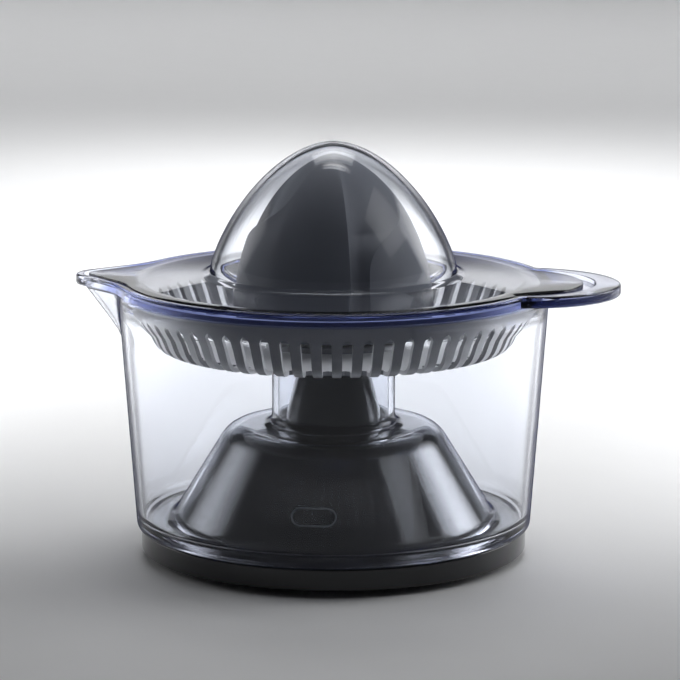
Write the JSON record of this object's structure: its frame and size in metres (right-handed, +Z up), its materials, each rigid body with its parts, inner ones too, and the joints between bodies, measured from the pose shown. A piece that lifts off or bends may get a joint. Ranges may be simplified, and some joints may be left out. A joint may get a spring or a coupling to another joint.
{
  "type": "citrus press juicer",
  "caption": "Electric citrus press: ribbed reamer over a slotted strainer in a clear spouted jug with a domed lid, nested on a dark conical motor base.",
  "frame": {"origin": "on the axis of the drive spindle, at the table plane that the rubber feet stand on", "axes": "+Z up along the spindle, +X toward the handle tab, -X toward the spout, -Y the front"},
  "size_m": [0.1981, 0.1562, 0.1506],
  "materials": {
    "clear": "clear, polished",
    "reamer_grey": "fine matt",
    "strainer_grey": "satin",
    "base_dark": "glossy charcoal",
    "plate_dark": "matt black",
    "rubber": "matt",
    "steel": "bright",
    "core_steel": "laminated, dull",
    "frame_plastic": "moulded",
    "copper": "enamelled wire",
    "magnet": "ferrite",
    "gear_plastic": "acetal",
    "bronze": "sintered",
    "spring_steel": "leaf"
  },
  "bodies": {
    "base": {"base_housing": "base_dark", "bottom_plate": "plate_dark", "rubber_feet": "rubber", "bottom_screws": "steel", "cord_gland": "plate_dark", "gear_plate": "frame_plastic", "plate_screws": "steel", "stator_core": "core_steel", "coil_bobbins": "frame_plastic", "coil_windings": "copper", "motor_bracket": "frame_plastic", "motor_screws": "steel", "motor_bushes": "bronze", "idler_axle": "steel", "spindle_bush": "bronze", "neck_seal": "rubber", "micro_switch": "frame_plastic", "lever_pin": "steel", "terminal_block": "frame_plastic"},
    "output": {"output_gear": "gear_plastic", "return_spring": "steel"},
    "spindle": {"drive_spindle": "steel", "retaining_ring": "steel"},
    "reamer": {"reamer": "reamer_grey"},
    "jug": {"jug": "clear", "strainer": "strainer_grey"},
    "lid": {"lid": "clear"},
    "rotor": {"rotor_magnet": "magnet", "rotor_shaft": "steel", "motor_pinion": "gear_plastic"},
    "idler": {"idler_gear": "gear_plastic"},
    "lever": {"switch_lever": "spring_steel"},
    "plunger": {"switch_plunger": "gear_plastic"}
  },
  "joints": [
    {"name": "spindle_spin", "type": "hinge", "parent": "base", "child": "output", "pos_m": [0, 0, 0.0354], "axis": [0, 0, 1], "continuous": true},
    {"name": "press", "type": "slide", "parent": "output", "child": "spindle", "axis": [0, 0, 1], "range_m": [-0.0025, 0], "stiffness_N_per_m": 4000, "deforming": ["return_spring"]},
    {"name": "reamer_lift", "type": "slide", "parent": "spindle", "child": "reamer", "axis": [0, 0, 1], "range_m": [0, 0.1]},
    {"name": "jug_lift", "type": "slide", "parent": "base", "child": "jug", "axis": [0, 0, 1], "range_m": [0, 0.1]},
    {"name": "lid_lift", "type": "slide", "parent": "jug", "child": "lid", "axis": [0, 0, 1], "range_m": [0, 0.055]},
    {"name": "idler_spin", "type": "hinge", "parent": "base", "child": "idler", "pos_m": [0.0199, 0.01174, 0.031], "axis": [0, 0, 1], "continuous": true},
    {"name": "rotor_spin", "type": "hinge", "parent": "base", "child": "rotor", "pos_m": [0.00889, 0.02443, 0.0094], "axis": [0, 0, 1], "continuous": true},
    {"name": "lever_tilt", "type": "hinge", "parent": "base", "child": "lever", "pos_m": [0, -0.028, 0.01928], "axis": [1, 0, 0], "range_deg": [-5.12, 0]},
    {"name": "plunger_push", "type": "slide", "parent": "base", "child": "plunger", "axis": [0, 0, 1], "range_m": [-0.000625, 0]}
  ],
  "couplings": [
    {"joint": "idler_spin", "follows": "rotor_spin", "ratio": -0.16667},
    {"joint": "spindle_spin", "follows": "rotor_spin", "ratio": 0.027778},
    {"joint": "reamer_lift", "follows": "jug_lift", "ratio": 1},
    {"joint": "lever_tilt", "follows": "press", "rad_per_m": 35.714},
    {"joint": "plunger_push", "follows": "press", "ratio": 0.25}
  ]
}
